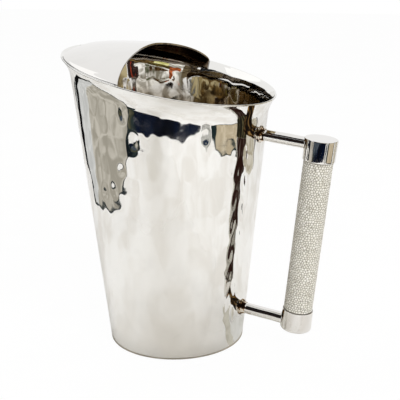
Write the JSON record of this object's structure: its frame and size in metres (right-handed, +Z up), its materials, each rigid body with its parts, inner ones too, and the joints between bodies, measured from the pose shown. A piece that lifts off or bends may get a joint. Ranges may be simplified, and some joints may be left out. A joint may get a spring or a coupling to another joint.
{
  "type": "pitcher",
  "caption": "Tapered hammered metal pitcher with a slanted flared mouth, an arched ice guard at the spout and a wrapped bar handle on round stems.",
  "frame": {"origin": "centre of the foot, on the surface that the pitcher stands on", "axes": "+Z up along the body's axis; +X towards the handle, so the spout points along -X; the X-Z plane is the plane of symmetry"},
  "size_m": [0.2112, 0.1606, 0.2319],
  "materials": {
    "hammered_metal": "mirror polish over a soft hammered surface, slightly warm",
    "polished_metal": "smooth mirror polish, slightly warm",
    "pebbled_leather": "cream pebbled shagreen, satin",
    "core_wood": "plain turned dowel, hidden",
    "rod_steel": "plain drawn rod, hidden"
  },
  "bodies": {
    "root": {"body_wall": "hammered_metal", "base_plate": "hammered_metal", "ice_guard": "polished_metal", "upper_stem": "polished_metal", "lower_stem": "polished_metal", "upper_collar": "polished_metal", "lower_collar": "polished_metal", "upper_cap": "polished_metal", "lower_cap": "polished_metal", "grip_sleeve": "pebbled_leather", "grip_core": "core_wood", "tie_rod": "rod_steel"}
  },
  "joints": []
}
